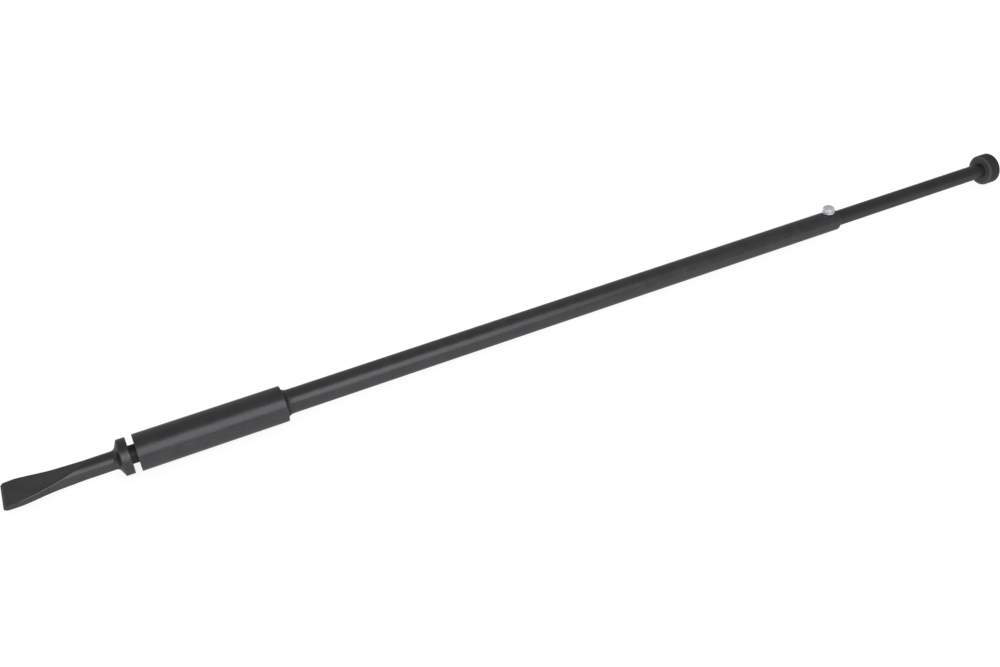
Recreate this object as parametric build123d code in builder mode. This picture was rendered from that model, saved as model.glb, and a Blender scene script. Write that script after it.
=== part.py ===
"""Slide-hammer cold chisel: a forged flat chisel held in a tubular barrel, driven by a sliding striker rod.

Millimetres. +X runs along the tool from the cutting edge to the striking head, and +Z through the
stop screw. The origin is under the middle of the tool, on the surface that it lies on.
"""
from build123d import *
import os

os.makedirs("parts", exist_ok=True)

# ---- Driving dimensions: lengths along the tool ----
overall_length = 824.4
edge_to_collar = 80.2  # cutting edge to the collar's back face
chisel_gap = 4.4  # open space between the collar and the holder, chisel hanging out
holder_length = 100.0
tube_socket = 32.0  # length of guide tube sunk into the holder
tube_mouth_reach = 570.7  # holder's front face to the tube's mouth
head_thickness = 10.6
shank_depth = 50.0  # shank inside the holder, chisel hanging out

# ---- Driving dimensions: across the tool ----
holder_radius = 12.7
tube_radius = 8.6
tube_wall = 2.0
rod_radius = 6.25
shank_radius = 6.325
collar_radius = 12.45
head_radius = 12.7
shank_clearance = 0.075  # radial, running fit of the shank in the holder
joint_gap = 0.05  # radial gap of a part sunk into its neighbour
running_gap = 0.3  # space kept at the end of a stroke

# ---- Motion ----
chisel_travel = 4.0
rod_stroke = 250.0

# ---- Blade ----
blade_half_width = 12.85
flare_start = 50.0  # distances from the cutting edge
flare_end = 7.0
flare_hold = 10.5  # how far the outline stays straight at the flare's blade end
flare_body_hold = 16.0  # and at its body end
bevel_length = 1.8
edge_half_thickness = 0.25
bevel_half_thickness = 1.7
knee_distance = 32.3  # where the thin blade turns up into the thick root
knee_half_thickness = 3.35
knee_blend = 70.0
flat_runout = 52.5  # where the flats die out on the round body
blade_corner = 0.3

# ---- Collar ----
collar_rim = 5.9
collar_cone_run = 2.9
collar_fillet = 3.2
collar_chamfer = 0.3

# ---- Screws (M6) ----
thread_radius = 3.0
thread_hole_radius = 3.05
dog_radius = 2.0
screw_head_flats = 8.0
screw_head_turn = 18.0  # degrees, of the hexagon about the screw's axis
screw_head_height = 4.6
screw_head_cone = 60.0  # degrees off the screw's axis
flange_radius = 4.95
flange_rim = 0.9  # height of the flange's rim, below its cone
flange_cone_rise = 0.55
flange_cone = 60.0  # degrees off the screw's axis
thread_chamfer = 0.4
stop_screw_reach = 6.7  # stop screw axis back from the tube's mouth
grub_setback = 25.0  # grub screw axis back from the holder's front face
grub_socket_flats = 3.0
grub_socket_depth = 2.5
grub_recess = 0.2
shank_flat_height = 4.8  # height of the shank's flat below the tool's axis

# ---- Rod and head ----
slot_floor = 3.6  # height of the rod's slot floor above the tool's axis
slot_side_gap = 0.1
spigot_radius = 5.0
rivet_flare = 1.0
head_edge_round = 1.6
rod_tip_chamfer = 1.0
shank_tip_chamfer = 1.0
mouth_chamfer = 0.3
holder_chamfer = 0.25

# ---- Weld ----
weld_rise = 2.7
weld_run = 5.5

# ---- Places along the tool, worked out from the above ----
edge_x = -overall_length / 2
collar_back_x = edge_x + edge_to_collar
collar_front_x = collar_back_x - collar_rim
holder_front_x = collar_back_x + chisel_gap
holder_rear_x = holder_front_x + holder_length
shank_tip_x = holder_front_x + shank_depth
rod_tip_x = shank_tip_x + chisel_travel + running_gap
tube_front_x = holder_rear_x - tube_socket
mouth_x = holder_front_x + tube_mouth_reach
stop_screw_x = mouth_x - stop_screw_reach
grub_x = holder_front_x + grub_setback
head_rear_x = overall_length / 2
head_front_x = head_rear_x - head_thickness
axis_height = holder_radius
tube_bore_radius = tube_radius - tube_wall
shank_bore_radius = shank_radius + shank_clearance

tool_axis = Axis((0, 0, axis_height), (1, 0, 0))
profile_plane = Plane(origin=(0, 0, axis_height), x_dir=(1, 0, 0), z_dir=(0, -1, 0))


def cross_plane(x):
    """Plane across the tool at x, centred on the tool's axis, facing +X."""
    return Plane(origin=(x, 0, axis_height), x_dir=(0, 1, 0), z_dir=(1, 0, 0))


def level_plane(x, height):
    """Plane parallel to the ground, centred over the tool's axis at x, at a height above that axis."""
    return Plane(origin=(x, 0, axis_height + height))


# ---- Chisel: one forging with blade, round body, collar and shank ----
with BuildPart() as chisel_bit:
    # Body of revolution: the flare's outline is the blade's plan outline.
    with BuildSketch(profile_plane):
        with BuildLine():
            Line((edge_x, 0), (edge_x, blade_half_width - blade_corner))
            CenterArc((edge_x + blade_corner, blade_half_width - blade_corner), blade_corner, 180, -90)
            Line((edge_x + blade_corner, blade_half_width), (edge_x + flare_end, blade_half_width))
            Bezier(
                (edge_x + flare_end, blade_half_width),
                (edge_x + flare_end + flare_hold, blade_half_width),
                (edge_x + flare_start - flare_body_hold, shank_radius),
                (edge_x + flare_start, shank_radius),
            )
            FilletPolyline(
                (edge_x + flare_start, shank_radius),
                (collar_front_x - collar_cone_run, shank_radius),
                (collar_front_x, collar_radius),
                radius=collar_fillet,
            )
            Polyline(
                (collar_front_x, collar_radius),
                (collar_back_x, collar_radius),
                (collar_back_x, shank_radius),
                (shank_tip_x, shank_radius),
                (shank_tip_x, 0),
                (edge_x, 0),
            )
        make_face()
    revolve(axis=tool_axis)
    # Flats: both faces of the blade, pressed towards the edge, with the ground bevel at the tip.
    with BuildSketch(profile_plane):
        with BuildLine():
            Polyline(
                (edge_x, 0),
                (edge_x, edge_half_thickness),
                (edge_x + bevel_length, bevel_half_thickness),
            )
            FilletPolyline(
                (edge_x + bevel_length, bevel_half_thickness),
                (edge_x + knee_distance, knee_half_thickness),
                (edge_x + flat_runout, shank_radius + joint_gap),
                radius=knee_blend,
            )
            Polyline(
                (edge_x + flat_runout, shank_radius + joint_gap),
                (edge_x + flat_runout, 2 * collar_radius),
                (shank_tip_x, 2 * collar_radius),
                (shank_tip_x, 0),
                (edge_x, 0),
            )
        make_face()
        mirror(about=Plane.XZ)
    extrude(amount=2 * collar_radius, both=True, mode=Mode.INTERSECT)
    # Collar rims and the shank's far end.
    collar_rims = (
        chisel_bit.edges()
        .filter_by(GeomType.CIRCLE)
        .filter_by(lambda edge: abs(edge.radius - collar_radius) < joint_gap)
    )
    chamfer(collar_rims, collar_chamfer)
    shank_end = chisel_bit.faces().sort_by(Axis.X)[-1]
    chamfer(shank_end.edges(), shank_tip_chamfer)
    # Flat on the underside of the shank, in which the grub screw's point stops the chisel's travel.
    with BuildSketch(level_plane(grub_x - chisel_travel / 2, -shank_flat_height)):
        Rectangle(chisel_travel + 2 * dog_radius + 2 * running_gap, 2 * shank_radius)
    extrude(amount=-shank_radius, mode=Mode.SUBTRACT)
chisel_bit.part.label = "chisel_bit"

# ---- Holder: thick round sleeve, bored for the shank in front and for the guide tube behind ----
with BuildPart() as holder:
    with BuildSketch(cross_plane(holder_front_x)):
        Circle(holder_radius)
    extrude(amount=holder_length)
    chamfer(holder.edges().filter_by(GeomType.CIRCLE), holder_chamfer)
    with BuildSketch(cross_plane(holder_front_x)):
        Circle(shank_bore_radius)
    extrude(amount=holder_length, mode=Mode.SUBTRACT)
    with BuildSketch(cross_plane(rod_tip_x)):
        Circle(tube_bore_radius)
    extrude(until=Until.LAST, mode=Mode.SUBTRACT)
    with BuildSketch(cross_plane(tube_front_x)):
        Circle(tube_radius + joint_gap)
    extrude(until=Until.LAST, mode=Mode.SUBTRACT)
    with BuildSketch(level_plane(grub_x, 0)):
        Circle(thread_hole_radius)
    extrude(amount=-holder_length, mode=Mode.SUBTRACT)
holder.part.label = "holder"

# ---- Guide tube ----
with BuildPart() as guide_tube:
    with BuildSketch(cross_plane(tube_front_x)):
        Circle(tube_radius)
        Circle(tube_bore_radius, mode=Mode.SUBTRACT)
    extrude(amount=mouth_x - tube_front_x)
    chamfer(guide_tube.faces().sort_by(Axis.X)[-1].edges(), mouth_chamfer)
    with BuildSketch(level_plane(stop_screw_x, 0)):
        Circle(thread_hole_radius)
    extrude(amount=2 * tube_radius, mode=Mode.SUBTRACT)
guide_tube.part.label = "guide_tube"

# ---- Weld bead that joins the tube to the holder's rear face ----
with BuildPart() as tube_weld:
    with BuildSketch(profile_plane):
        with BuildLine():
            EllipticalCenterArc(
                (holder_rear_x + weld_run, tube_radius + weld_rise), weld_run, weld_rise, 180, arc_size=90
            )
            Polyline(
                (holder_rear_x + weld_run, tube_radius),
                (holder_rear_x, tube_radius),
                (holder_rear_x, tube_radius + weld_rise),
            )
        make_face()
    revolve(axis=tool_axis)
tube_weld.part.label = "tube_weld"

# ---- Stop screw: hexagon flange screw whose point runs in the rod's slot ----
with BuildPart() as stop_screw:
    with BuildSketch(level_plane(stop_screw_x, tube_radius)):
        RegularPolygon(screw_head_flats / 2, 6, major_radius=False, rotation=screw_head_turn)
    extrude(amount=screw_head_height)
    # The head's corners are turned off by a cone, as on every hexagon head.
    with BuildSketch(level_plane(stop_screw_x, tube_radius + screw_head_height)):
        Circle(screw_head_flats / 2)
    extrude(amount=-screw_head_height, taper=-screw_head_cone, mode=Mode.INTERSECT)
    with BuildSketch(level_plane(stop_screw_x, tube_radius)):
        Circle(flange_radius)
    extrude(amount=flange_rim)
    with BuildSketch(level_plane(stop_screw_x, tube_radius + flange_rim)):
        Circle(flange_radius)
    extrude(amount=flange_cone_rise, taper=flange_cone)
    with BuildSketch(level_plane(stop_screw_x, tube_radius)):
        Circle(thread_radius)
    extrude(amount=rod_radius + joint_gap - tube_radius)
    with BuildSketch(level_plane(stop_screw_x, rod_radius + joint_gap)):
        Circle(dog_radius)
    extrude(amount=slot_floor + running_gap - rod_radius - joint_gap)
stop_screw.part.label = "stop_screw"

# ---- Grub screw: holds the chisel's shank in the holder, flush on the underside ----
grub_top = shank_bore_radius + running_gap
grub_bottom = holder_radius - grub_recess
with BuildPart() as grub_screw:
    with BuildSketch(level_plane(grub_x, -grub_top)):
        Circle(thread_radius)
    extrude(amount=grub_top - grub_bottom)
    chamfer(grub_screw.edges().filter_by(GeomType.CIRCLE).group_by(Axis.Z)[0], thread_chamfer)
    with BuildSketch(level_plane(grub_x, -grub_bottom)):
        RegularPolygon(grub_socket_flats / 2, 6, major_radius=False)
    extrude(amount=grub_socket_depth, mode=Mode.SUBTRACT)
    with BuildSketch(level_plane(grub_x, -grub_top)):
        Circle(dog_radius)
    extrude(amount=grub_top - shank_flat_height - running_gap)
grub_screw.part.label = "grub_screw"

# ---- Striker rod, slotted for the stop screw, with a riveted spigot behind ----
slot_width = 2 * (dog_radius + slot_side_gap)
with BuildPart() as striker_rod:
    with BuildSketch(cross_plane(rod_tip_x)):
        Circle(rod_radius)
    extrude(amount=head_front_x - rod_tip_x)
    chamfer(striker_rod.faces().sort_by(Axis.X)[0].edges(), rod_tip_chamfer)
    with BuildSketch(level_plane(stop_screw_x - rod_stroke / 2, slot_floor)):
        SlotCenterToCenter(rod_stroke + 2 * running_gap, slot_width)
    extrude(amount=rod_radius, mode=Mode.SUBTRACT)
    with BuildSketch(profile_plane):
        with BuildLine():
            Polyline(
                (head_front_x, 0),
                (head_front_x, spigot_radius),
                (head_rear_x - rivet_flare, spigot_radius),
                (head_rear_x, spigot_radius + rivet_flare),
                (head_rear_x, 0),
                close=True,
            )
        make_face()
    revolve(axis=tool_axis)
striker_rod.part.label = "striker_rod"

# ---- Striking head: thick disc riveted on the rod's spigot ----
with BuildPart() as striking_head:
    with BuildSketch(cross_plane(head_front_x)):
        Circle(head_radius)
    extrude(amount=head_thickness)
    fillet(striking_head.edges().filter_by(GeomType.CIRCLE), head_edge_round)
    bore_radius = spigot_radius + joint_gap
    with BuildSketch(profile_plane):
        with BuildLine():
            Polyline(
                (head_front_x, 0),
                (head_front_x, bore_radius),
                (head_rear_x - rivet_flare, bore_radius),
                (head_rear_x, bore_radius + rivet_flare),
                (head_rear_x, 0),
                close=True,
            )
        make_face()
    revolve(axis=tool_axis, mode=Mode.SUBTRACT)
striking_head.part.label = "striking_head"

for piece in (
    chisel_bit,
    holder,
    guide_tube,
    tube_weld,
    stop_screw,
    grub_screw,
    striker_rod,
    striking_head,
):
    export_step(piece.part, f"parts/{piece.part.label}.step")
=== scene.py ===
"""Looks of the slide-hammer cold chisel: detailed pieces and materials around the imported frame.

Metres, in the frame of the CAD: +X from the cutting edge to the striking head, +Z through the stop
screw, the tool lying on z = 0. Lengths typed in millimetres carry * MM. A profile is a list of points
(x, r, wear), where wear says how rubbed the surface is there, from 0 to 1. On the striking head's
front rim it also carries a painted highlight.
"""
import math

import bmesh
import bpy
from mathutils import Matrix, Vector, noise


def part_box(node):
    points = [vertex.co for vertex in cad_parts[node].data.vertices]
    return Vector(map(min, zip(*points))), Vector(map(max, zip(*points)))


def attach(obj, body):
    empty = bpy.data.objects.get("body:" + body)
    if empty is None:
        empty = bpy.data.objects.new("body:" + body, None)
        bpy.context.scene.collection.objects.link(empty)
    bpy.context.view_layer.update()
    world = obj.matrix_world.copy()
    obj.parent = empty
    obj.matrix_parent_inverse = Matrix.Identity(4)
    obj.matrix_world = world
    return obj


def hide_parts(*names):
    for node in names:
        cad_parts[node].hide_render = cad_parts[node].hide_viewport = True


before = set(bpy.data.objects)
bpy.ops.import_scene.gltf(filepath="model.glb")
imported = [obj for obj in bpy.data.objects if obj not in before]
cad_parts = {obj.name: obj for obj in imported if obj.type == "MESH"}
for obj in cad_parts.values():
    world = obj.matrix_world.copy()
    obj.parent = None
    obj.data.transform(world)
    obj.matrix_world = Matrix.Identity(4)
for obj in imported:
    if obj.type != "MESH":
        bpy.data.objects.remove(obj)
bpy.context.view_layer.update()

MM = 0.001

# ---- Places read from the frame ----
chisel_low, chisel_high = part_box("chisel_bit")
holder_low, holder_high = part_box("holder")
tube_low, tube_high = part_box("guide_tube")
weld_low, weld_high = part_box("tube_weld")
stop_low, stop_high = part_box("stop_screw")
grub_low, grub_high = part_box("grub_screw")
rod_low, rod_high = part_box("striker_rod")
head_low, head_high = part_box("striking_head")

AXIS_Z = (holder_low.z + holder_high.z) / 2
HOLDER_R = (holder_high.z - holder_low.z) / 2
TUBE_R = (tube_high.z - tube_low.z) / 2
ROD_R = (rod_high.y - rod_low.y) / 2
HEAD_R = (head_high.y - head_low.y) / 2
COLLAR_R = (chisel_high.z - chisel_low.z) / 2
WELD_R = (weld_high.y - weld_low.y) / 2
BLADE_HALF_WIDTH = (chisel_high.y - chisel_low.y) / 2
SCREW_TURN = math.radians(18)  # of the hexagon about the screw's axis
STOP_X = (stop_low.x + stop_high.x) / 2
GRUB_X = (grub_low.x + grub_high.x) / 2

# ---- Sizes shared with the CAD design ----
SHANK_R = 6.325 * MM
SHANK_BORE_R = 6.4 * MM
TUBE_BORE_R = 6.6 * MM
COLLAR_BACK_X = chisel_low.x + 80.2 * MM
COLLAR_RIM = 5.9 * MM  # length of the collar's cylinder
COLLAR_CONE = 2.9 * MM  # length of the cone in front of it
COLLAR_FILLET = 3.2 * MM
FLARE_START = 50 * MM  # from the cutting edge, as all places along the blade
FLARE_END = 7 * MM
FLARE_HOLD = 10.5 * MM  # how far the outline stays straight at the flare's blade end
FLARE_BODY_HOLD = 16 * MM  # and at its body end
BLADE_CORNER = 0.3 * MM
BEVEL_LENGTH = 1.8 * MM
EDGE_HALF = 0.25 * MM  # half thickness at the cutting edge
BEVEL_HALF = 1.7 * MM  # and where the bevel ends
KNEE = 32.3 * MM  # where the thin blade begins to thicken
KNEE_HALF = 3.35 * MM
KNEE_BLEND = 70 * MM
FLAT_RUNOUT = 52.5 * MM  # where the flats have run out
SHANK_FLAT_DEPTH = 4.8 * MM  # below the axis
SHANK_FLAT_LENGTH = 8.6 * MM
CHISEL_TRAVEL = 4 * MM
JOINT_GAP = 0.05 * MM
THREAD_R = 3 * MM
THREAD_PITCH = 1 * MM
THREAD_DEPTH = 0.45 * MM
DOG_R = 2 * MM  # of both screws' plain points
HEAD_FLATS = 8 * MM
HEAD_HEIGHT = 4.6 * MM
FLANGE_R = 4.95 * MM
FLANGE_RIM = 0.9 * MM
FLANGE_SLOPE = math.tan(math.radians(60))  # how fast the flange's cone narrows with height
SOCKET_FLATS = 3 * MM
SOCKET_DEPTH = 2.5 * MM
SLOT_FLOOR = 3.6 * MM  # above the axis
SLOT_HALF_WIDTH = 2.1 * MM
ROD_STROKE = 250 * MM
SLOT_END_GAP = 0.3 * MM
SPIGOT_R = 5 * MM
RIVET_FLARE = 1 * MM
HEAD_ROUND = 1.6 * MM

# ---- Mesh density and tolerances ----
AROUND = 128  # points around a turned piece
HOLE_AROUND, SCREW_AROUND, GRUB_AROUND, WELD_AROUND = 64, 144, 96, 240
WELD_STEPS = 14  # along the bead
SLOT_END_STEPS = 24  # around each end of the rod's slot
SIDE_POINTS, FILLET_POINTS, FLAT_POINTS = 56, 8, 42  # of one half of the chisel's section
SECTION_POINTS = 2 * (SIDE_POINTS + 2 * FILLET_POINTS + FLAT_POINTS)
FULLEST_SIDE = 1.2  # angle up to which the side's points spread where the section is a full circle
ROUND_STEPS = 5  # fewest steps of a round
ROUND_STEP = 0.35 * MM  # and their greatest length
ROUND_SHARE = 0.49  # most of a side that one round takes up
HOLD = 0.8 * MM  # how far past a round the next ring of points lies
HOLD_SHARE = 0.4  # and the most of the side that it may take up
POINT_SIZE = 1e-7  # a ring smaller than this is a point
MERGE_DISTANCE = 1e-8
SHARP_ANGLE = math.radians(40)
NOISE_STEPS = (7.3, 3.1, 5.7)  # how far apart in the noise the seeds lie


# ---------------------------------------------------------------- mesh tools
def corner_round(before, corner, after, radius):
    """Points of the arc of that radius that replaces the corner."""
    towards_before = (before - corner).normalized()
    towards_after = (after - corner).normalized()
    half = towards_before.angle(towards_after) / 2
    longest = ROUND_SHARE * min((before - corner).length, (after - corner).length)
    reach = min(radius / math.tan(half), longest)
    radius = reach * math.tan(half)
    centre = corner + (towards_before + towards_after).normalized() * radius / math.sin(half)
    first = corner + towards_before * reach - centre
    last = corner + towards_after * reach - centre
    sweep = first.angle_signed(last)
    steps = max(ROUND_STEPS, int(abs(sweep) * radius / ROUND_STEP))
    return [centre + Matrix.Rotation(-sweep * k / steps, 2) @ first for k in range(steps + 1)]


def rounded(corners, closed=False):
    """Profile points (x, r, wear) from corners (x, r, round radius). Rounded corners are worn."""
    points = []
    count = len(corners)
    for i, (x, r, radius) in enumerate(corners):
        here = Vector((x, r))
        ends = not closed and i in (0, count - 1)
        if ends or radius <= 0:
            points.append((x, r, 0.0))
            continue
        before = Vector(corners[i - 1][:2])
        after = Vector(corners[(i + 1) % count][:2])
        arc = corner_round(before, here, after, radius)
        hold_before = min(HOLD, (before - arc[0]).length * HOLD_SHARE)
        hold_after = min(HOLD, (after - arc[-1]).length * HOLD_SHARE)
        lead = arc[0] + (before - arc[0]).normalized() * hold_before
        trail = arc[-1] + (after - arc[-1]).normalized() * hold_after
        points.append((lead.x, lead.y, 0.0))
        points += [(p.x, p.y, 1.0) for p in arc]
        points.append((trail.x, trail.y, 0.0))
    return points


def ring_mesh(name, rings, wear, closed=False, capped=False):
    """A mesh skinned over rings of points, each ring a closed loop. wear holds a value for each ring.

    closed joins the last ring to the first. capped closes the first ring with a flat face.
    """
    bm = bmesh.new()
    layer = bm.verts.layers.float.new("wear")
    loops = []
    for ring, worn in zip(rings, wear):
        if all((p - ring[0]).length < POINT_SIZE for p in ring):
            loop = [bm.verts.new(ring[0])] * len(ring)
        else:
            loop = [bm.verts.new(p) for p in ring]
        for vert in loop:
            vert[layer] = worn
        loops.append(loop)
    pairs = list(zip(loops, loops[1:]))
    if closed:
        pairs.append((loops[-1], loops[0]))
    count = len(rings[0])
    for first, second in pairs:
        for i in range(count):
            j = (i + 1) % count
            corners = dict.fromkeys((first[i], first[j], second[j], second[i]))
            if len(corners) > 2:
                bm.faces.new(corners)
    if capped:
        bm.faces.new(loops[0])
    bmesh.ops.remove_doubles(bm, verts=bm.verts, dist=MERGE_DISTANCE)
    bmesh.ops.recalc_face_normals(bm, faces=bm.faces)
    if bm.calc_volume(signed=True) < 0:
        bmesh.ops.reverse_faces(bm, faces=bm.faces)
    return finish_mesh(name, bm)


def finish_mesh(name, bm):
    """The object of a finished bmesh, shaded smooth with its sharp edges kept."""
    mesh = bpy.data.meshes.new(name)
    bm.to_mesh(mesh)
    bm.free()
    for face in mesh.polygons:
        face.use_smooth = True
    mesh.set_sharp_from_angle(angle=SHARP_ANGLE)
    piece = bpy.data.objects.new(name, mesh)
    bpy.context.scene.collection.objects.link(piece)
    return piece


def full_turn(around, start=0.0):
    """Angles spread evenly over one turn."""
    return [start + 2 * math.pi * k / around for k in range(around)]


def lathe(name, profile, closed=False):
    """A turned piece about the tool's axis from a profile."""
    turn = full_turn(AROUND)
    rings = []
    for x, r, _ in profile:
        rings.append([Vector((x, r * math.cos(a), AXIS_Z + r * math.sin(a))) for a in turn])
    return ring_mesh(name, rings, [p[2] for p in profile], closed)


def level_ring(x, z, turn, reaches):
    """A level ring of points around the vertical line at x, each at its own angle and reach."""
    return [Vector((x + r * math.cos(a), r * math.sin(a), z)) for a, r in zip(turn, reaches)]


def hole_cutter(name, x, low, high):
    """An upright cylinder that cuts a screw's hole at x, between two heights above the axis."""
    radius = THREAD_R + JOINT_GAP
    turn = full_turn(HOLE_AROUND)
    ends = ((low, 0), (low, radius), (high, radius), (high, 0))
    rings = [level_ring(x, AXIS_Z + height, turn, [r] * HOLE_AROUND) for height, r in ends]
    return ring_mesh(name, rings, [0.0] * len(rings))


def block(name, centre, size):
    """A box used as a cutter."""
    bm = bmesh.new()
    bmesh.ops.create_cube(bm, size=1.0)
    for vert in bm.verts:
        vert.co = centre + Vector((vert.co.x * size.x, vert.co.y * size.y, vert.co.z * size.z))
    return finish_mesh(name, bm)


def cut(piece, cutter):
    """Takes the cutter's solid out of the piece, and deletes the cutter."""
    modifier = piece.modifiers.new("cut", "BOOLEAN")
    modifier.operation = "DIFFERENCE"
    modifier.solver = "EXACT"
    modifier.object = cutter
    graph = bpy.context.evaluated_depsgraph_get()
    result = bpy.data.meshes.new_from_object(piece.evaluated_get(graph))
    piece.modifiers.clear()
    piece.data = result
    result.set_sharp_from_angle(angle=SHARP_ANGLE)
    bpy.data.objects.remove(cutter)


def unevenness(piece, depth, size, seed, keep):
    """Moves each point along its normal by smooth noise, as forging leaves a surface.

    keep gives the share of the depth that a place gets.
    """
    mesh = piece.data
    offset = Vector(tuple(seed * step for step in NOISE_STEPS))
    normals = [v.normal.copy() for v in mesh.vertices]
    for vert, normal in zip(mesh.vertices, normals):
        amount = noise.noise(vert.co / size + offset) * depth
        vert.co += normal * (amount * keep(vert.co))


def install(piece, material, body, node):
    """Gives the piece its material and shading and its body, and hides the CAD node that it stands for.
    """
    piece.data.materials.clear()
    piece.data.materials.append(material)
    shading = piece.modifiers.new("even_normals", "WEIGHTED_NORMAL")
    shading.keep_sharp = True
    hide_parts(node)
    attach(piece, body)


# ---------------------------------------------------------------- material tools
class Tree:
    """Short way of writing a material's nodes."""

    def __init__(self, name):
        self.material = bpy.data.materials.new(name)
        self.material.use_nodes = True
        self.tree = self.material.node_tree
        self.tree.nodes.clear()

    def add(self, kind, inputs, **settings):
        made = self.tree.nodes.new("ShaderNode" + kind)
        for key, value in settings.items():
            setattr(made, key, value)
        for key, value in inputs.items():
            if isinstance(value, bpy.types.NodeSocket):
                self.tree.links.new(value, made.inputs[key])
            else:
                made.inputs[key].default_value = value
        return made

    def math(self, operation, first, second=0.0):
        return self.add("Math", {0: first, 1: second}, operation=operation).outputs[0]

    def mix(self, factor, first, second):
        """Blend of two colours, each a socket or an (r, g, b) value."""
        made = self.add("Mix", {"Factor": factor}, data_type="RGBA")
        for key, value in ((6, first), (7, second)):
            if isinstance(value, bpy.types.NodeSocket):
                self.tree.links.new(value, made.inputs[key])
            else:
                made.inputs[key].default_value = (*value, 1.0)
        return made.outputs[2]

    def spread(self, value, low, high):
        """The value stretched so that low becomes 0 and high becomes 1, clamped."""
        return self.add("MapRange", {"Value": value, "From Min": low, "From Max": high}).outputs[0]

    def coordinates(self, stretch=(1, 1, 1)):
        """Object coordinates in millimetres, stretched."""
        place = self.add("TexCoord", {}).outputs["Object"]
        scale = tuple(s / MM for s in stretch)
        return self.add("Mapping", {"Vector": place, "Scale": scale}).outputs[0]

    def noise(self, size_mm, detail=2.0, stretch=(1, 1, 1), rough=0.5):
        inputs = {
            "Vector": self.coordinates(stretch),
            "Scale": 1 / size_mm,
            "Detail": detail,
            "Roughness": rough,
        }
        return self.add("TexNoise", inputs).outputs[0]

    def wear(self):
        return self.add("Attribute", {}, attribute_name="wear").outputs["Fac"]

    def bumps(self, *layers):
        """A normal from (height socket, depth in metres) layers, one on another."""
        normal = None
        for height, depth in layers:
            inputs = {"Height": height, "Distance": depth, "Strength": 1.0}
            if normal is not None:
                inputs["Normal"] = normal
            normal = self.add("Bump", inputs).outputs[0]
        return normal

    def finish(self, colour, roughness, normal, metallic=1.0, edge=1.0, gloss=0.5):
        """The shader, with its share of metal, its grazing reflections and its gloss where not metal."""
        inputs = {
            "Base Color": colour,
            "Roughness": roughness,
            "Normal": normal,
            "Metallic": metallic,
            "Specular Tint": (edge, edge, edge, 1.0),
            "Specular IOR Level": gloss,
        }
        shader = self.add("BsdfPrincipled", inputs)
        self.add("OutputMaterial", {"Surface": shader.outputs[0]})
        return self.material


VIOLET = (1.0, 0.965, 1.02)
NEUTRAL_WARM = (1.02, 0.98, 0.99)
WORN_STEEL = (0.33, 0.32, 0.32)
CRYSTAL_SHARE, CLOUD_SHARE = 0.55, 0.45  # of the tone of black steel
CLOUD_MM = 11.0  # size of its mottling
LINE_MM, LINE_STRETCH = 0.5, (0.012, 1, 1)  # of its faint lines along the tool
FLECK_SIZE, FLECK_LIGHT, FLECK_SHARE = 1.7, 1.8, 0.3  # against the grain's size and the light colour
CLOUD_DEPTH, LINE_DEPTH = 0.05 * MM, 0.01 * MM
DARKENING_ROUGHNESS = 0.15  # how much duller the darkened band is
GRAZING_TINT = 0.45  # of the reflections at grazing angles
ZINC_DARK, ZINC_LIGHT = (0.47, 0.47, 0.51), (0.66, 0.66, 0.70)
ZINC_PITS, ZINC_WORN = (0.30, 0.30, 0.33), (0.9, 0.9, 0.92)


def grey(level, tint=VIOLET):
    """A colour of that linear level with the steel's faint violet cast."""
    return tuple(level * t for t in tint)


def black_steel(
    name, dark, light, rough, grain,
    draw=0.0, tint=VIOLET, metal=0.6, wear=0.12, scuffs=1.0, gloss=0.5, darkening=None,
):
    """Blackened steel: mottled tone, crystalline grain, pale flecks and faint lines along the tool.

    dark and light are linear levels. grain is (size in mm, depth in metres). draw is how strong the
    lines are and scuffs how broken up the wear is. The band of darkening is given as (start, end, level):
    from start to end along X the colour falls to that share, and it stays there beyond end. It is painted
    shade at the weld's foot against the holder and over the head's side and rear, and a darker shank
    behind the chisel's collar.
    """
    t = Tree(name)
    grain_mm, grain_depth = grain
    crystals = t.noise(grain_mm, 3.0, rough=0.6)
    cloud = t.noise(CLOUD_MM, 3.0)
    lines = t.noise(LINE_MM, 2.0, stretch=LINE_STRETCH)
    tone = t.math("MULTIPLY", crystals, CRYSTAL_SHARE)
    tone = t.math("ADD", tone, t.math("MULTIPLY", cloud, CLOUD_SHARE))
    tone = t.math("ADD", tone, t.math("MULTIPLY", t.math("SUBTRACT", lines, 0.5), draw))
    colour = t.mix(t.spread(tone, 0.32, 0.68), grey(dark, tint), grey(light, tint))
    flecks = t.spread(t.noise(grain_mm * FLECK_SIZE, 1.0, rough=0.3), 0.66, 0.74)
    colour = t.mix(t.math("MULTIPLY", flecks, FLECK_SHARE), colour, grey(light * FLECK_LIGHT, tint))
    uneven = t.math("ADD", t.math("MULTIPLY", cloud, 0.12), t.math("MULTIPLY", crystals, 0.10))
    roughness = t.math("ADD", uneven, rough - 0.11)
    # Painted shade along X at the weld's foot and over the head's side and rear, and a darker shank
    # behind the chisel's collar: the colour falls to the given share.
    if darkening:
        start, end, level = darkening
        place = t.add("SeparateXYZ", {0: t.add("TexCoord", {}).outputs["Object"]}).outputs[0]
        darkened = t.spread(place, start, end)
        colour = t.mix(darkened, colour, grey(dark * level, tint))
        roughness = t.math("ADD", roughness, t.math("MULTIPLY", darkened, DARKENING_ROUGHNESS))
    scuff = t.spread(t.noise(1.6, 3.0), 0.55 - 0.1 * scuffs - (1 - scuffs), 0.65)
    worn = t.math("MULTIPLY", t.math("POWER", t.wear(), 1.5), scuff)
    colour = t.mix(t.math("MULTIPLY", worn, wear), colour, WORN_STEEL)
    normal = t.bumps((crystals, grain_depth), (cloud, CLOUD_DEPTH), (lines, draw * LINE_DEPTH))
    return t.finish(colour, roughness, normal, metal, GRAZING_TINT, gloss)


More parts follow.
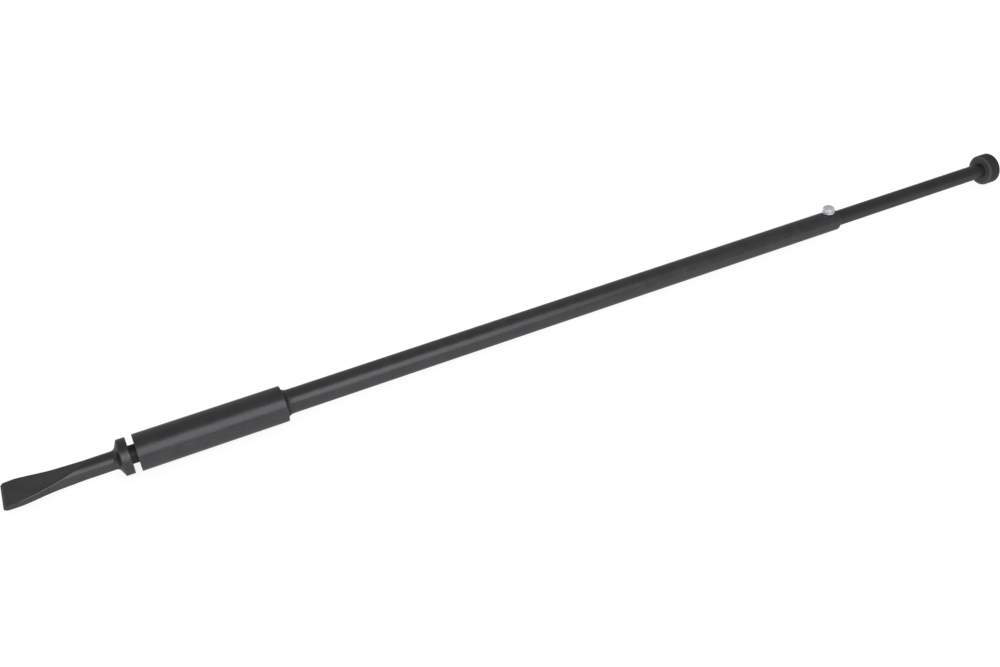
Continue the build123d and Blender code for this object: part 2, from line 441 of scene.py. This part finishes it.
def zinc_plate(name):
    """Bright zinc plating: cool silver, faint mottling, fine pitting, brighter on its worn corners."""
    t = Tree(name)
    cloud = t.noise(2.2, 3.0)
    grain = t.noise(0.25, 3.0)
    colour = t.mix(t.spread(cloud, 0.35, 0.65), ZINC_DARK, ZINC_LIGHT)
    pits = t.spread(grain, 0.62, 0.75)
    colour = t.mix(t.math("MULTIPLY", pits, 0.5), colour, ZINC_PITS)
    worn = t.math("MULTIPLY", t.wear(), t.spread(t.noise(0.8, 2.0), 0.4, 0.6))
    colour = t.mix(t.math("MULTIPLY", worn, 0.4), colour, ZINC_WORN)
    roughness = t.math("ADD", t.math("MULTIPLY", cloud, 0.2), 0.24)
    normal = t.bumps((grain, 0.008 * MM), (cloud, 0.03 * MM))
    return t.finish(colour, roughness, normal, metallic=0.75)


# ---------------------------------------------------------------- chisel
OUTLINE_START = 1.2 * MM  # first ring past the blade's corner
OUTLINE_FINE, OUTLINE_COARSE = 0.5 * MM, 1.0 * MM  # steps between the blade's rings
OUTLINE_FINE_END = 4 * MM
CORNER_STEPS = 6
CORNER_WEAR = 0.6
TIP_FILLET, BODY_FILLET_RISE = 0.3 * MM, 1.3 * MM  # the round between flat and side, and its growth
FILLET_FROM, FILLET_OVER = 4 * MM, 20 * MM
FILLET_MOST = 0.7  # of the half thickness
FORGED_FROM, FORGED_OVER, FORGED_END = 3 * MM, 4 * MM, 60 * MM
FORGING_LAYERS = ((0.10 * MM, 9 * MM, 1), (0.035 * MM, 2.6 * MM, 2))  # (depth, size, seed)
BISECTIONS = 40


def flare_radius(along):
    """Half width of the blade's outline at a distance from the cutting edge: a cubic with flat ends."""
    if along <= FLARE_END:
        return BLADE_HALF_WIDTH
    if along >= FLARE_START:
        return SHANK_R
    stops = (FLARE_END, FLARE_END + FLARE_HOLD, FLARE_START - FLARE_BODY_HOLD, FLARE_START)
    low, high = 0.0, 1.0
    for _ in range(BISECTIONS):
        u = (low + high) / 2
        reached = bezier(stops, u)
        low, high = (u, high) if reached < along else (low, u)
    return bezier((BLADE_HALF_WIDTH, BLADE_HALF_WIDTH, SHANK_R, SHANK_R), u)


def bezier(stops, u):
    """Value of a cubic Bezier of four numbers at u."""
    a, b, c, d = stops
    v = 1 - u
    return a * v**3 + 3 * b * v * v * u + 3 * c * v * u * u + d * u**3


def flat_height(along):
    """Half thickness between the blade's flats at a distance from the cutting edge."""
    if along < BEVEL_LENGTH:
        return EDGE_HALF + (BEVEL_HALF - EDGE_HALF) * along / BEVEL_LENGTH
    slope_thin = (KNEE_HALF - BEVEL_HALF) / (KNEE - BEVEL_LENGTH)
    slope_root = (SHANK_R - KNEE_HALF) / (FLAT_RUNOUT - KNEE)
    thin = BEVEL_HALF + slope_thin * (along - BEVEL_LENGTH)
    root = KNEE_HALF + slope_root * (along - KNEE)
    blend = KNEE_BLEND * (slope_root - slope_thin) / 2
    gap = (along - KNEE) / blend
    if abs(gap) >= 1:
        return max(thin, root)
    return (thin + root) / 2 + (slope_root - slope_thin) * blend * (1 + gap * gap) / 4


def chisel_outline():
    """Outline points (x, r, wear) from the cutting edge to the shank's end."""
    edge = chisel_low.x
    points = []
    for k in range(CORNER_STEPS + 1):
        a = math.pi / 2 * k / CORNER_STEPS
        x = edge + BLADE_CORNER * (1 - math.cos(a))
        points.append((x, BLADE_HALF_WIDTH - BLADE_CORNER * (1 - math.sin(a)), CORNER_WEAR))
    along = OUTLINE_START
    while along < FLARE_START + 4 * MM:
        points.append((edge + along, flare_radius(along), 0.0))
        along += OUTLINE_FINE if along < OUTLINE_FINE_END else OUTLINE_COARSE
    front = COLLAR_BACK_X - COLLAR_RIM
    corners = [
        (edge + along, SHANK_R, 0),
        (front - COLLAR_CONE, SHANK_R, COLLAR_FILLET),
        (front, COLLAR_R, 0.45 * MM),
        (COLLAR_BACK_X, COLLAR_R, 0.35 * MM),
        (COLLAR_BACK_X, SHANK_R, 0.3 * MM),
        (chisel_high.x, SHANK_R, 0.8 * MM),
        (chisel_high.x, 0, 0),
    ]
    for x, r, worn in rounded(corners):
        in_fillet = r < COLLAR_R - 2 * MM and x < front
        points.append((x, r, 0.0 if in_fillet else worn))
    return points


def edge_fillet(along):
    """Radius of the round between flat and side: crisp at the tip, fuller towards the body."""
    share = max(0.0, min(1.0, (along - FILLET_FROM) / FILLET_OVER))
    return TIP_FILLET + BODY_FILLET_RISE * share * share * (3 - 2 * share)


def section_reach(angle, radius, height, fillet):
    """Distance from the axis to the chisel's section at an angle of the first quarter.

    The section is a circle pressed flat at that height, with a fillet between circle and flat.
    """
    across = math.sqrt(max(0.0, (radius - fillet) ** 2 - (height - fillet) ** 2))
    if angle <= math.atan2(height - fillet, across):
        return radius
    if angle >= math.atan2(height, across):
        return height / math.sin(angle)
    middle = across * math.cos(angle) + (height - fillet) * math.sin(angle)
    return middle + math.sqrt(max(0.0, fillet**2 - (radius - fillet) ** 2 + middle**2))


def chisel_ring(x, radius):
    """One closed section of the chisel: a circle with its top and bottom pressed flat."""
    if radius == 0:
        return [Vector((x, 0, AXIS_Z))] * SECTION_POINTS
    along = x - chisel_low.x
    height = min(flat_height(along), radius) if along < FLAT_RUNOUT else radius
    fillet = min(edge_fillet(along), height * FILLET_MOST)
    across = math.sqrt(max(0.0, (radius - fillet) ** 2 - (height - fillet) ** 2))
    side_end = min(math.atan2(height - fillet, across), FULLEST_SIDE)
    flat_start = min(math.atan2(height, across), FULLEST_SIDE + 0.1)
    angles = [side_end * (2 * k / SIDE_POINTS - 1) for k in range(SIDE_POINTS)]
    angles += [side_end + (flat_start - side_end) * k / FILLET_POINTS for k in range(FILLET_POINTS)]
    slant = 1 / math.tan(flat_start)
    angles += [math.atan2(1, slant * (1 - 2 * k / FLAT_POINTS)) for k in range(FLAT_POINTS)]
    last = math.pi - flat_start
    angles += [last + (flat_start - side_end) * k / FILLET_POINTS for k in range(FILLET_POINTS)]
    ring = []
    for a in angles + [a + math.pi for a in angles]:
        quarter = math.atan2(abs(math.sin(a)), abs(math.cos(a)))
        reach = section_reach(quarter, radius, height, fillet)
        ring.append(Vector((x, reach * math.cos(a), AXIS_Z + reach * math.sin(a))))
    return ring


def make_chisel(material):
    """The forged chisel: flared blade, round body, collar and shank."""
    outline = chisel_outline()
    rings = [chisel_ring(x, r) for x, r, _ in outline]
    piece = ring_mesh("chisel_forging", rings, [p[2] for p in outline], capped=True)

    def forged(place):
        """Only the forged blade and body are uneven; the ground edge and the fitted shank are true."""
        along = place.x - chisel_low.x
        if along >= FORGED_END:
            return 0.0
        return max(0.0, min(1.0, (along - FORGED_FROM) / FORGED_OVER))

    for depth, size, seed in FORGING_LAYERS:
        unevenness(piece, depth, size, seed, forged)
    for vert in piece.data.vertices:
        vert.co.y = max(chisel_low.y, min(chisel_high.y, vert.co.y))
    flat_x = GRUB_X - CHISEL_TRAVEL / 2
    size = Vector((SHANK_FLAT_LENGTH, 4 * SHANK_R, 2 * SHANK_R))
    centre = Vector((flat_x, 0, AXIS_Z - SHANK_FLAT_DEPTH - size.z / 2))
    cut(piece, block("shank_flat_cutter", centre, size))
    install(piece, material, "chisel", "chisel_bit")


# ---------------------------------------------------------------- barrel
def make_holder(material):
    """The thick sleeve, bored from both ends, with the grub screw's hole on its underside."""
    front, rear = holder_low.x, holder_high.x
    step = rod_low.x
    corners = [
        (front, SHANK_BORE_R, 0.4 * MM),
        (front, HOLDER_R, 0.3 * MM),
        (rear, HOLDER_R, 0.3 * MM),
        (rear, TUBE_R + JOINT_GAP, 0.2 * MM),
        (tube_low.x, TUBE_R + JOINT_GAP, 0),
        (tube_low.x, TUBE_BORE_R, 0),
        (step, TUBE_BORE_R, 0),
        (step, SHANK_BORE_R, 0),
    ]
    piece = lathe("holder_sleeve", rounded(corners, closed=True), closed=True)
    cut(piece, hole_cutter("grub_hole_cutter", GRUB_X, -2 * HOLDER_R, 0))
    install(piece, material, "barrel", "holder")


def make_tube(material):
    """The long guide tube, with the stop screw's hole near its mouth."""
    corners = [
        (tube_low.x, TUBE_BORE_R, 0.2 * MM),
        (tube_low.x, TUBE_R, 0.2 * MM),
        (tube_high.x, TUBE_R, 0.3 * MM),
        (tube_high.x, TUBE_BORE_R, 0.35 * MM),
    ]
    piece = lathe("guide_tube_drawn", rounded(corners, closed=True), closed=True)
    cut(piece, hole_cutter("stop_hole_cutter", STOP_X, 0, 2 * TUBE_R))
    install(piece, material, "barrel", "guide_tube")


RIPPLES = 26  # around the weld
RIPPLE_DEPTH, SWAY_DEPTH = 0.09 * MM, 0.14 * MM
HOLLOW_MOST = 0.6  # share of the bead's thickness


def weld_hollow(lean, angle):
    """Depth of the ripples and unevenness at a share of the bead's length and an angle around it."""
    ripple = 0.5 + 0.5 * math.cos(RIPPLES * angle + 3 * lean + 0.6 * math.sin(3 * angle))
    sway = noise.noise(Vector((math.cos(angle) * 1.3, math.sin(angle) * 1.3, 4.0)))
    return 4 * lean * (1 - lean) * (RIPPLE_DEPTH * ripple + SWAY_DEPTH * sway)


def make_weld(material):
    """The weld bead: a concave fillet with shallow ripples around the tube."""
    run = weld_high.x - weld_low.x
    rise = WELD_R - TUBE_R
    profile = [(weld_low.x, TUBE_R)]
    for k in range(WELD_STEPS + 1):
        a = math.pi / 2 * k / WELD_STEPS
        profile.append((weld_low.x + run * (1 - math.cos(a)), WELD_R - rise * math.sin(a)))
    rings = []
    for x, r in profile:
        ring = []
        for a in full_turn(WELD_AROUND):
            hollow = weld_hollow((x - weld_low.x) / run, a)
            reach = r - min(hollow, HOLLOW_MOST * (r - TUBE_R))
            ring.append(Vector((x, reach * math.cos(a), AXIS_Z + reach * math.sin(a))))
        rings.append(ring)
    piece = ring_mesh("weld_bead", rings, [0.0] * len(rings), closed=True)
    install(piece, material, "barrel", "tube_weld")


# The stop screw's rings, from the top of its head down.
SCREW_RIM = HEAD_FLATS / 2 * 0.95  # radius of the round top
DISH_DEPTH = 0.2 * MM
DISH_RINGS = ((0, 1), (0.45, 1), (0.7, 1), (0.78, 0.5), (0.86, 0), (0.95, 0))  # (share of rim, of depth)
CHAMFER_SLOPE = math.tan(math.radians(30))
CHAMFER_RINGS = ((0.0, 0.6), (0.08, 0.6), (0.5, 0.2), (0.9, 0.4), (1.0, 0.7))  # (share of the way, wear)
SIDE_SHARE = 0.995  # of the hexagon that the chamfer reaches
SIDE_RINGS = (  # (height in mm above the tube, wear)
    (2.6, 0.2), (1.7, 0.0), (1.45, 0.0), (1.34, 0.0), (1.23, 0.1), (1.12, 0.2), (1.0, 0.4),
)
FLANGE_RINGS = (  # (height and inset in mm, wear)
    (0.92, 0.06, 0.9), (0.82, 0.0, 0.7), (0.1, 0.0, 0.4), (0.0, 0.1, 0.4),
)
POINT_WEAR = 0.3
POINT_CHAMFER = 0.2 * MM
POINT_END = 0.9  # share of the plain point's radius at its end


def hexagon_reach(angle, flats, turned=0.0):
    """Distance from a hexagon's centre to its side at an angle. Unturned, two corners are along X."""
    third = math.pi / 3
    return flats / 2 / math.cos(((angle - turned) % third) - third / 2)


def make_stop_screw(material):
    """Hexagon flange screw: chamfered head with a shallow dished top, threaded shank and plain point."""
    base = AXIS_Z + TUBE_R
    top = base + HEAD_HEIGHT
    turn = full_turn(SCREW_AROUND, SCREW_TURN)
    sides = [hexagon_reach(a, HEAD_FLATS, SCREW_TURN) for a in turn]
    rings, wear = [], []

    def add_level(z, reaches, worn):
        rings.append(level_ring(STOP_X, z, turn, reaches))
        wear.append(worn)

    def add_circle(z, radius, worn):
        add_level(z, [radius] * SCREW_AROUND, worn)

    for share, sunk in DISH_RINGS:
        add_circle(top - DISH_DEPTH * sunk, SCREW_RIM * share, 0.0)
    for share, worn in CHAMFER_RINGS:
        reaches = [SCREW_RIM + (side * SIDE_SHARE - SCREW_RIM) * share for side in sides]
        add_level(top, reaches, worn)
        for point, reach in zip(rings[-1], reaches):
            point.z = top - (reach - SCREW_RIM) * CHAMFER_SLOPE
    for height, worn in SIDE_RINGS:
        cone = FLANGE_R - (height * MM - FLANGE_RIM) * FLANGE_SLOPE
        add_level(base + height * MM, [max(side, cone) for side in sides], worn)
    for height, inset, worn in FLANGE_RINGS:
        add_circle(base + height * MM, FLANGE_R - inset * MM, worn)
    for z, radius in threaded_shank(base, AXIS_Z + ROD_R + JOINT_GAP):
        add_circle(z, radius, 0.0)
    add_circle(AXIS_Z + ROD_R, DOG_R, POINT_WEAR)
    add_circle(stop_low.z + POINT_CHAMFER, DOG_R, POINT_WEAR)
    add_circle(stop_low.z, DOG_R * POINT_END, POINT_WEAR)
    add_circle(stop_low.z, 0, POINT_WEAR)
    piece = ring_mesh("stop_screw_m6", rings, wear)
    install(piece, material, "barrel", "stop_screw")


def threaded_shank(top, bottom):
    """(height, radius) pairs of a thread's crests and roots, from the top down."""
    pairs = [(top, THREAD_R)]
    height = top - THREAD_PITCH / 2
    root = True
    while height > bottom:
        pairs.append((height, THREAD_R - THREAD_DEPTH if root else THREAD_R))
        root = not root
        height -= THREAD_PITCH / 2
    pairs.append((bottom, THREAD_R - THREAD_DEPTH))
    return pairs


SHOULDER_DROP = 0.3 * MM  # of the grub screw's shoulder below the shank's bore
SOCKET_CONE = 0.5 * MM  # at the socket's bottom
SOCKET_CHAMFER, SOCKET_MOUTH = 0.12 * MM, 1.08  # depth, and widening of the socket's mouth


def make_grub_screw(material):
    """Socket set screw in the holder's underside, its plain point in the shank's flat."""
    turn = full_turn(GRUB_AROUND)
    socket = [hexagon_reach(a, SOCKET_FLATS) for a in turn]
    bottom, top = grub_low.z, grub_high.z
    shoulder = AXIS_Z - SHANK_BORE_R - SHOULDER_DROP
    rings = []

    def circle(z, radius):
        rings.append(level_ring(GRUB_X, z, turn, [radius] * GRUB_AROUND))

    def hexagon(z, share):
        rings.append(level_ring(GRUB_X, z, turn, [reach * share for reach in socket]))

    circle(bottom + SOCKET_DEPTH + SOCKET_CONE, 0)
    hexagon(bottom + SOCKET_DEPTH, 1.0)
    hexagon(bottom + SOCKET_CHAMFER, 1.0)
    hexagon(bottom, SOCKET_MOUTH)
    circle(bottom, THREAD_R - THREAD_DEPTH)
    for z, radius in reversed(threaded_shank(shoulder, bottom + THREAD_DEPTH)):
        circle(z, radius)
    circle(shoulder, DOG_R)
    circle(top - POINT_CHAMFER, DOG_R)
    circle(top, DOG_R * POINT_END)
    circle(top, 0)
    piece = ring_mesh("grub_screw_m6", rings, [POINT_WEAR] * len(rings))
    install(piece, material, "barrel", "grub_screw")


# ---------------------------------------------------------------- hammer
RIVET_EDGE = 0.15 * MM
RIVET_FULLNESS = 0.85  # how far the riveted end fills its countersink


def make_rod(material):
    """The striker rod with its guiding slot and its spigot, riveted over behind the head."""
    corners = [
        (rod_low.x, 0, 0),
        (rod_low.x, ROD_R, 0.9 * MM),
        (head_low.x, ROD_R, 0),
        (head_low.x, SPIGOT_R, 0),
        (rod_high.x - RIVET_FLARE, SPIGOT_R, 0),
        (rod_high.x - RIVET_EDGE, SPIGOT_R + RIVET_FLARE * RIVET_FULLNESS, 0.1 * MM),
        (rod_high.x, (SPIGOT_R + RIVET_FLARE) * RIVET_FULLNESS, 1.5 * MM),
        (rod_high.x, 0, 0),
    ]
    piece = lathe("striker_rod_bar", rounded(corners))
    centre = STOP_X - ROD_STROKE / 2
    half = ROD_STROKE / 2 + SLOT_END_GAP
    cut(piece, slot_cutter(centre, half))
    install(piece, material, "hammer", "striker_rod")


def slot_cutter(centre, half):
    """A long round-ended block standing over the rod's slot."""
    outline = []
    for side in (1, -1):
        for k in range(SLOT_END_STEPS + 1):
            a = -math.pi / 2 + math.pi * k / SLOT_END_STEPS
            x = half + SLOT_HALF_WIDTH * math.cos(a)
            outline.append((side * x, side * SLOT_HALF_WIDTH * math.sin(a)))
    rings = []
    for height in (AXIS_Z + SLOT_FLOOR, AXIS_Z + 2 * ROD_R):
        rings.append([Vector((centre + x, y, height)) for x, y in outline])
    bm = bmesh.new()
    low = [bm.verts.new(p) for p in rings[0]]
    high = [bm.verts.new(p) for p in rings[1]]
    bm.faces.new(low)
    bm.faces.new(high)
    for i in range(len(low)):
        j = (i + 1) % len(low)
        bm.faces.new((low[i], low[j], high[j], high[i]))
    bmesh.ops.recalc_face_normals(bm, faces=bm.faces)
    return finish_mesh("slot_cutter", bm)


STRUCK_RIM = HEAD_R - 2.6 * MM  # the dents lie inside this radius
STRUCK_INNER_GAP = 0.6 * MM
STRUCK_RINGS = 14
DENT_LARGE, DENT_SMALL, DENT_DEPTH = 2.4 * MM, 1.1 * MM, 0.12 * MM
STRUCK_WEAR, DENT_WEAR = 0.35, 2.2  # wear of the struck face, and how much more the dents have
REAR_WEAR = 0.5  # of the rear edge
FRONT_WEAR_AND_HIGHLIGHT_RUN = 1.2 * MM  # over which the front edge's wear and painted highlight fade


def make_head(material):
    """The striking head: a thick disc with rounded edges, riveted on the spigot, its rear face dented."""
    bore = SPIGOT_R + JOINT_GAP
    front, rear = head_low.x, head_high.x
    corners = [(front, bore, 0), (front, HEAD_R, HEAD_ROUND), (rear, HEAD_R, HEAD_ROUND)]
    inner = bore + RIVET_FLARE + STRUCK_INNER_GAP
    for k in range(STRUCK_RINGS + 1):
        corners.append((rear, STRUCK_RIM + (inner - STRUCK_RIM) * k / STRUCK_RINGS, 0))
    corners += [(rear, bore + RIVET_FLARE, 0.15 * MM), (rear - RIVET_FLARE, bore, 0)]
    profile = []
    # The front rim's lighter worn colour is partly real wear and partly a painted highlight along the
    # rounded front edge.
    for x, r, worn in rounded(corners, closed=True):
        share = REAR_WEAR if x > rear - 3 * MM else max(0.0, 1 - (x - front) / FRONT_WEAR_AND_HIGHLIGHT_RUN)
        profile.append((x, r, worn * share))
    piece = lathe("striking_head_disc", profile, closed=True)
    wear = piece.data.attributes["wear"].data
    for vert in piece.data.vertices:
        radius = math.hypot(vert.co.y, vert.co.z - AXIS_Z)
        if vert.co.x > rear - 0.01 * MM and radius < STRUCK_RIM + 0.1 * MM:
            dent = noise.noise(vert.co / DENT_LARGE) + 0.5 * noise.noise(vert.co / DENT_SMALL)
            wear[vert.index].value = max(0.0, min(1.0, STRUCK_WEAR + DENT_WEAR * dent))
            vert.co.x -= max(0.0, dent) * DENT_DEPTH
    install(piece, material, "hammer", "striking_head")


# ---------------------------------------------------------------- studio
TOOL_ROLL = math.radians(10)  # how far the stop screw leans away from the camera
CAMERA_TURN = math.radians(26.16)
CAMERA_PITCH = math.radians(43.08)
CAMERA_DISTANCE = 0.7582  # from the tool's axis
CAMERA_RISE = math.radians(46.05)  # seen along the tool, before its roll
CAMERA_FOOT_X = -0.3213
CAMERA_LENS = 39.37
SENSOR_WIDTH = 36
FLOOR_REACH = 12
FLOOR_GLOW = 0.86
FLOOR_LIGHT, FLOOR_DARK = (0.24, 0.24, 0.24), (0.21, 0.21, 0.21)
WHITE = (1, 1, 1, 1)
ROOM_FRONT = 0.45  # brightness of the surroundings in front of the tool, at the horizon
ROOM_BACK = 1.0
ROOM_OVERHEAD = 0.355
ROOM_SPLIT = (-0.15, 0.25)  # Y of the direction where the front ends and the back begins
KEY_RISE = math.radians(34.5)
KEY_DISTANCE = 1.1
KEY_X = -0.045
KEY_WIDTH, KEY_HEIGHT = 1.02, 0.9
KEY_POWER = 7.7


def make_camera():
    """The camera at the photograph's angle and distance."""
    data = bpy.data.cameras.new("camera")
    data.sensor_width = SENSOR_WIDTH
    data.lens = CAMERA_LENS
    camera = bpy.data.objects.new("camera", data)
    roll = Matrix.Rotation(TOOL_ROLL, 4, "X")
    turn = Matrix.Rotation(-CAMERA_TURN, 4, "Z") @ Matrix.Rotation(math.pi / 2 - CAMERA_PITCH, 4, "X")
    away = Vector((0, -math.cos(CAMERA_RISE), math.sin(CAMERA_RISE))) * CAMERA_DISTANCE
    place = Matrix.Translation(Vector((CAMERA_FOOT_X, 0, AXIS_Z)))
    camera.matrix_world = place @ roll @ Matrix.Translation(away) @ turn
    bpy.context.scene.collection.objects.link(camera)
    bpy.context.scene.camera = camera


def make_floor():
    """A plain pale floor that reaches past every view."""
    bm = bmesh.new()
    bmesh.ops.create_grid(bm, x_segments=2, y_segments=2, size=FLOOR_REACH)
    floor = finish_mesh("floor", bm)
    t = Tree("pale_floor")
    cloud = t.noise(240.0, 2.0)
    colour = t.mix(t.math("MULTIPLY", cloud, 0.3), FLOOR_LIGHT, FLOOR_DARK)
    inputs = {
        "Base Color": colour,
        "Roughness": 0.9,
        "Emission Color": WHITE,
        "Emission Strength": FLOOR_GLOW,
    }
    shader = t.add("BsdfPrincipled", inputs)
    t.add("OutputMaterial", {"Surface": shader.outputs[0]})
    floor.data.materials.append(t.material)


def make_world():
    """Studio surroundings: a pale sweep behind the tool, a dimmer room in front, dim overhead.

    The camera itself sees white beyond the floor.
    """
    world = bpy.data.worlds.new("studio")
    bpy.context.scene.world = world
    world.use_nodes = True
    nodes, links = world.node_tree.nodes, world.node_tree.links
    nodes.clear()
    place = nodes.new("ShaderNodeTexCoord")
    split = nodes.new("ShaderNodeSeparateXYZ")
    links.new(place.outputs["Generated"], split.inputs[0])

    def span(value, low, high, at_low, at_high):
        made = nodes.new("ShaderNodeMapRange")
        links.new(value, made.inputs["Value"])
        limits = {"From Min": low, "From Max": high, "To Min": at_low, "To Max": at_high}
        for key, number in limits.items():
            made.inputs[key].default_value = number
        return made.outputs[0]

    front = span(split.outputs["Z"], 0, 1, ROOM_FRONT, ROOM_OVERHEAD)
    back = span(split.outputs["Z"], 0, 1, ROOM_BACK, ROOM_OVERHEAD)
    mixer = nodes.new("ShaderNodeMix")
    background = nodes.new("ShaderNodeBackground")
    output = nodes.new("ShaderNodeOutputWorld")
    links.new(span(split.outputs["Y"], *ROOM_SPLIT, 0, 1), mixer.inputs["Factor"])
    links.new(front, mixer.inputs[2])
    links.new(back, mixer.inputs[3])
    links.new(mixer.outputs[0], background.inputs["Strength"])
    background.inputs["Color"].default_value = WHITE
    backdrop = nodes.new("ShaderNodeBackground")
    backdrop.inputs["Color"].default_value = WHITE
    rays = nodes.new("ShaderNodeLightPath")
    seen = nodes.new("ShaderNodeMixShader")
    links.new(rays.outputs["Is Camera Ray"], seen.inputs[0])
    links.new(background.outputs[0], seen.inputs[1])
    links.new(backdrop.outputs[0], seen.inputs[2])
    links.new(seen.outputs[0], output.inputs["Surface"])


def softbox(name, place, target, width, height, power):
    """A rectangular soft light at a place, facing the target."""
    data = bpy.data.lights.new(name, "AREA")
    data.shape = "RECTANGLE"
    data.size = width
    data.size_y = height
    data.energy = power
    light = bpy.data.objects.new(name, data)
    light.location = place
    light.rotation_euler = (target - place).to_track_quat("-Z", "Y").to_euler()
    light.visible_camera = False
    bpy.context.scene.collection.objects.link(light)


def make_studio():
    """Camera, floor, surroundings and the one soft light in front."""
    make_camera()
    make_floor()
    make_world()
    target = Vector((KEY_X, 0, AXIS_Z))
    place = target + Vector((0, -math.cos(KEY_RISE), math.sin(KEY_RISE))) * KEY_DISTANCE
    softbox("key", place, target, KEY_WIDTH, KEY_HEIGHT, KEY_POWER)
    bpy.context.scene.view_settings.view_transform = "Standard"


# ---------------------------------------------------------------- assembly
phosphated = black_steel("phosphated_steel", 0.047, 0.070, 0.33, (0.55, 0.02 * MM), draw=0.25)
# The chisel is darker from the collar's back onward, over the neck between collar and holder.
forged = black_steel(
    "forged_steel", 0.049, 0.076, 0.34, (0.8, 0.03 * MM), tint=NEUTRAL_WARM, metal=0.72,
    darkening=(COLLAR_BACK_X - 0.3 * MM, COLLAR_BACK_X + 0.2 * MM, 0.7),
)
# Painted shade: the bead is darker towards its foot against the holder's rear face, where the junction
# lies in shade.
weld = black_steel(
    "weld_steel", 0.045, 0.066, 0.38, (0.5, 0.03 * MM),
    darkening=(weld_low.x + 2.8 * MM, weld_low.x + 1.8 * MM, 0.7),
)
oiled = black_steel("oiled_steel", 0.040, 0.056, 0.36, (0.4, 0.01 * MM), draw=0.15)
# Painted light and shade on the head: the front face is painted lighter against the shade around the rod,
# and the side and rear are painted darker. Its worn front rim is partly a painted highlight.
struck = black_steel(
    "struck_steel", 0.053, 0.062, 0.5, (0.5, 0.012 * MM), metal=0.0, wear=0.12, scuffs=0.3, gloss=0.15,
    darkening=(head_low.x + 0.4 * MM, head_low.x + 1.8 * MM, 0.62),
)
zinc = zinc_plate("zinc_plate")

make_chisel(forged)
make_holder(phosphated)
make_tube(phosphated)
make_weld(weld)
make_stop_screw(zinc)
make_grub_screw(oiled)
make_rod(oiled)
make_head(struck)
make_studio()
